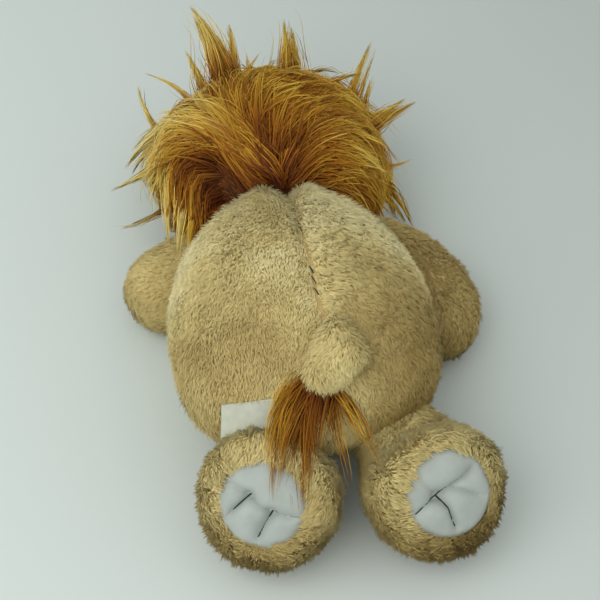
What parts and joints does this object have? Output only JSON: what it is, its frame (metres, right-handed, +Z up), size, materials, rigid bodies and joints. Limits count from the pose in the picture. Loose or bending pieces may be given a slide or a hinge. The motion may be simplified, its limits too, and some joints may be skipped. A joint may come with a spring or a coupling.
{
  "type": "plush lion",
  "caption": "Stuffed short-pile lion lying on its front, with a long-pile mane over the back of the head, hinged limbs and head, white soles and a tufted tail.",
  "frame": {"origin": "middle of the flat patch of the belly that rests on the ground", "axes": "+Y towards the crown of the head, +Z up out of the back, -X towards the toy's own left"},
  "size_m": [0.2448, 0.4416, 0.1213],
  "materials": {
    "cream_plush": "short brushed pile, matte",
    "rust_pile": "long combed pile, slight sheen",
    "white_satin": "smooth short nap, satin",
    "fibre_fill": "loose fibre",
    "black_plastic": "polished",
    "washer_plastic": "moulded"
  },
  "bodies": {
    "torso": {"torso_back_left": "cream_plush", "torso_back_right": "cream_plush", "torso_belly": "cream_plush", "torso_filling": "fibre_fill"},
    "head": {"face": "cream_plush", "head_back": "rust_pile", "head_filling": "fibre_fill", "mane": "rust_pile", "muzzle": "cream_plush", "nose": "black_plastic", "eye_left": "black_plastic", "eye_right": "black_plastic", "eye_washer_left": "washer_plastic", "eye_washer_right": "washer_plastic"},
    "ear_left": {"ear_left": "cream_plush"},
    "ear_right": {"ear_right": "cream_plush"},
    "arm_left": {"arm_left": "cream_plush", "arm_left_filling": "fibre_fill"},
    "arm_right": {"arm_right": "cream_plush", "arm_right_filling": "fibre_fill"},
    "leg_left": {"leg_left": "cream_plush", "leg_left_filling": "fibre_fill", "sole_left": "white_satin"},
    "leg_right": {"leg_right": "cream_plush", "leg_right_filling": "fibre_fill", "sole_right": "white_satin"},
    "tail": {"tail": "cream_plush", "tail_tuft": "rust_pile"},
    "label": {"label": "white_satin"}
  },
  "joints": [
    {"name": "neck", "type": "hinge", "parent": "torso", "child": "head", "pos_m": [0, 0.0705, 0.0615], "axis": [1, 0, 0], "range_deg": [-8, 8], "stiffness_Nm_per_rad": 0.6},
    {"name": "shoulder_left", "type": "hinge", "parent": "torso", "child": "arm_left", "pos_m": [-0.05425, 0.05301, 0.046], "axis": [0.4104, 0.9119, 0], "range_deg": [-3, 30], "stiffness_Nm_per_rad": 0.15},
    {"name": "hip_left", "type": "hinge", "parent": "torso", "child": "leg_left", "pos_m": [-0.03675, -0.10477, 0.046], "axis": [1, 0, 0], "range_deg": [-10, 30], "stiffness_Nm_per_rad": 0.25},
    {"name": "ear_left_flop", "type": "hinge", "parent": "head", "child": "ear_left", "pos_m": [-0.02627, 0.14187, 0.03], "axis": [-0.6323, -0.7747, 0], "range_deg": [-8, 18], "stiffness_Nm_per_rad": 0.006},
    {"name": "shoulder_right", "type": "hinge", "parent": "torso", "child": "arm_right", "pos_m": [0.0595, 0.04713, 0.046], "axis": [0.4104, -0.9119, 0], "range_deg": [-3, 30], "stiffness_Nm_per_rad": 0.15},
    {"name": "hip_right", "type": "hinge", "parent": "torso", "child": "leg_right", "pos_m": [0.04025, -0.10477, 0.046], "axis": [1, 0, 0], "range_deg": [-10, 30], "stiffness_Nm_per_rad": 0.25},
    {"name": "ear_right_flop", "type": "hinge", "parent": "head", "child": "ear_right", "pos_m": [0.04424, 0.14185, 0.03], "axis": [-0.6378, 0.7702, 0], "range_deg": [-8, 18], "stiffness_Nm_per_rad": 0.006},
    {"name": "tail_root", "type": "hinge", "parent": "torso", "child": "tail", "pos_m": [0.01497, -0.07229, 0.11859], "axis": [-1, 0, 0], "range_deg": [0, 60], "stiffness_Nm_per_rad": 0.02},
    {"name": "label_edge", "type": "hinge", "parent": "torso", "child": "label", "pos_m": [-0.04746, -0.10273, 0.08937], "axis": [-0.9447, 0.3245, -0.0471], "range_deg": [0, 35], "stiffness_Nm_per_rad": 0.0001}
  ]
}
